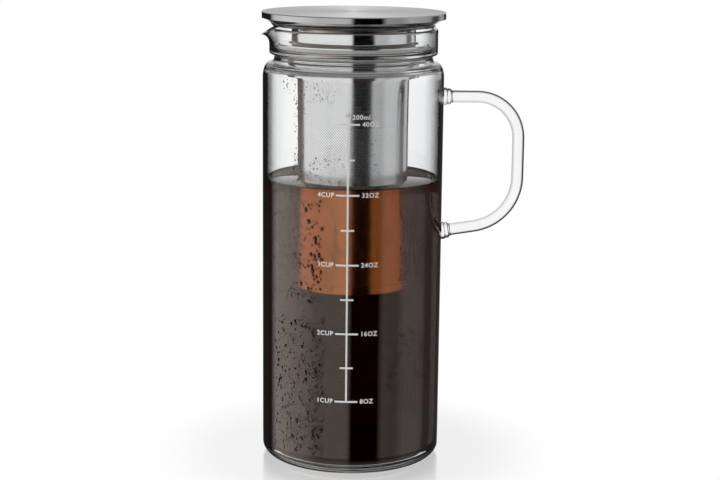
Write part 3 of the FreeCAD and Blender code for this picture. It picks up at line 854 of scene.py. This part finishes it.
def woven_mesh():
    material, tree = new_material("woven_stainless_mesh")
    place = add(tree, "ShaderNodeTexCoord").outputs["Object"]
    axes = add(tree, "ShaderNodeSeparateXYZ", None, {0: place}).outputs
    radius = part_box("mesh_sleeve")[1].x
    wires = float(round(2 * math.pi * radius / MESH_PITCH))
    around = maths(tree, "MULTIPLY", maths(tree, "ARCTAN2", axes["X"], axes["Y"]), wires)
    along = maths(tree, "MULTIPLY", axes["Z"], 2 * math.pi / MESH_PITCH)
    knots = maths(tree, "MULTIPLY", maths(tree, "SINE", around), maths(tree, "SINE", along))
    hole = between(tree, knots, HOLE_FROM, HOLE_TO)
    bump = add(tree, "ShaderNodeBump", None, {"Height": knots, "Distance": 0.01 * MM, "Strength": 0.5})
    body = add(tree, "ShaderNodeBsdfPrincipled", None, {
        "Base Color": blend(tree, hole, "eaeaea", "a4a4a4"), "Metallic": 1.0, "Roughness": 0.2,
        "Normal": bump.outputs[0]})
    add(tree, "ShaderNodeOutputMaterial", None, {"Surface": body.outputs[0]})
    return material


use(woven_mesh(), "mesh_sleeve")

# %% [markdown]
# ## The printed scale
# The scale is white ceramic ink, screen printed on the glass and fired. The line and its marks
# came with the frame. The figures beside them are set in a plain geometric letter, a little
# bolder and wider apart than the font's own, filled flat, and then rolled round the glass.
# Each mark is one cup of eight fluid ounces above the last, which the bore of the glass turns
# into a height.

# %% Scale figures
INK_R = BODY_R + 0.06
INK_T = 0.03
CAP_HEIGHT = 2.35
CAPS_IN_SIZE = 0.70
BOLDER = 0.075
LETTER_SPACE = 1.12
LEFT_END = -9.1
RIGHT_START = 5.0
VOLUME_X = 3.6
VOLUME_RISE = 3.6
FIRST_MARK = 40.9
MARKS = 5
CUP = 236588.0
CUP_OUNCES = 8
CUP_HEIGHT = CUP / (math.pi * (BODY_R - WALL) ** 2)


def fired_ink():
    material, tree = new_material("white_ceramic_ink")
    body = add(tree, "ShaderNodeBsdfPrincipled", None, {
        "Base Color": blend(tree, specks(tree, 0.3, 2.0), "e2e2e0", "f0f0ee"), "Roughness": 0.45})
    add(tree, "ShaderNodeOutputMaterial", None, {"Surface": body.outputs[0]})
    return material


INK = fired_ink()
use(INK, "scale_marks")


def figures(text, x, z, align):
    """Text filled flat and rolled round the glass. x and z are in millimetres."""
    name = "print_" + text
    curve = bpy.data.curves.new(name, "FONT")
    curve.body = text
    curve.size = CAP_HEIGHT / CAPS_IN_SIZE
    curve.offset = BOLDER
    curve.space_character = LETTER_SPACE
    curve.extrude = INK_T
    curve.resolution_u = 3
    curve.align_x = align
    curve.align_y = "CENTER"
    flat = bpy.data.objects.new(name + "_flat", curve)
    mesh = bpy.data.meshes.new_from_object(flat)
    bpy.data.objects.remove(flat)
    for vertex in mesh.vertices:
        across, up, out = vertex.co
        angle = (x + across) / INK_R
        radius = (INK_R + out) * MM
        vertex.co = (radius * math.sin(angle), -radius * math.cos(angle), (z + up) * MM)
    mesh.name = name
    piece(name, mesh, INK, "carafe", "white_print")


for cups in range(1, MARKS + 1):
    mark_z = FIRST_MARK + (cups - 1) * CUP_HEIGHT
    figures(str(CUP_OUNCES * cups) + "OZ", RIGHT_START, mark_z, "LEFT")
    if cups < MARKS:
        figures(str(cups) + "CUP", LEFT_END, mark_z, "RIGHT")
figures("1200ml", VOLUME_X, FIRST_MARK + (MARKS - 1) * CUP_HEIGHT + VOLUME_RISE, "CENTER")

# %% [markdown]
# ## Water beads
# Cold glass sweats. Each bead is a closed lens of water, sunk a little into the surface of
# the glass, and drawn out upwards where it has begun to run. Most beads are small and a few
# are large, and none lies over another. They gather in patches, so each patch is a row that
# says where it lies, how many beads are tried in it and how large they are. All the beads are
# one piece, which keeps the scene light.

# %% Condensation
BEAD_ROUND = 8
BEAD_RINGS = 3
BEAD_DOME = 0.5
BEAD_SUNK = 0.04
BEAD_SPACE = 1.05
MOSTLY_SMALL = 2.5
BEAD_SEED = 7
# Each row: x from, x to, z from, z to, beads tried, size from, size to, how far they run.
PATCHES = [
    (-43, -24, 80, 150, 360, 0.25, 0.60, 0.6),
    (-40, -14, 10, 85, 750, 0.28, 1.10, 1.4),
    (-31, -15, 92, 146, 170, 0.40, 1.20, 1.2),
    (-30, -24, 150, 200, 120, 0.25, 0.70, 0.9),
    (-27, -4, 152, 168, 130, 0.20, 0.55, 0.4),
    (-36, -8, 196, 207, 90, 0.20, 0.50, 0.4),
    (24, 42, 104, 148, 480, 0.20, 0.60, 0.6),
    (20, 40, 30, 76, 420, 0.20, 0.70, 0.6),
    (0, 14, 150, 180, 110, 0.18, 0.45, 0.4),
]


def add_bead(points, faces, angle, z, size, stretch):
    """One closed lens on the glass, in millimetres."""
    first = len(points)
    rows = [(0.0, -BEAD_SUNK)]
    for ring in range(BEAD_RINGS + 1):
        reach = 1 - ring / BEAD_RINGS
        rows.append((reach, -BEAD_SUNK if ring == 0 else BEAD_DOME * (1 - reach ** 2)))
    rings = []
    for reach, height in rows:
        if reach < ON_AXIS:
            rings.append([len(points)])
            points.append((0.0, 0.0, height))
            continue
        ring = []
        for step in range(BEAD_ROUND):
            around = 2 * math.pi * step / BEAD_ROUND
            up = math.sin(around) * (stretch if math.sin(around) > 0 else 1.0)
            ring.append(len(points))
            points.append((math.cos(around) * reach, up * reach, height))
        rings.append(ring)
    for low, high in zip(rings, rings[1:]):
        for step in range(BEAD_ROUND):
            after = (step + 1) % BEAD_ROUND
            if len(low) == 1:
                faces.append((low[0], high[step], high[after]))
            elif len(high) == 1:
                faces.append((low[step], high[0], low[after]))
            else:
                faces.append((low[step], high[step], high[after], low[after]))
    for number in range(first, len(points)):
        across, up, out = points[number]
        turn = angle + across * size / BODY_R
        radius = BODY_R + out * size
        points[number] = (radius * math.sin(turn) * MM, -radius * math.cos(turn) * MM,
                          (z + up * size) * MM)


def beads(name, patches):
    rng = random.Random(BEAD_SEED)
    points, faces, taken = [], [], []
    for x_low, x_high, z_low, z_high, count, small, large, run in patches:
        for _ in range(count):
            size = small + (large - small) * rng.random() ** MOSTLY_SMALL
            x = rng.uniform(x_low, x_high)
            z = rng.uniform(z_low, z_high)
            stretch = 1 + run * rng.random()
            if any(math.hypot(x - a, z - b) < (size + c) * BEAD_SPACE for a, b, c in taken):
                continue
            taken.append((x, z, size))
            add_bead(points, faces, math.asin(x / BODY_R), z, size, stretch)
    print(name, len(taken), "beads")
    return smooth_mesh(name, points, faces)


piece("water_beads", beads("water_beads", PATCHES), WATER_PAINTED_DARK, "carafe", "clear_glass")
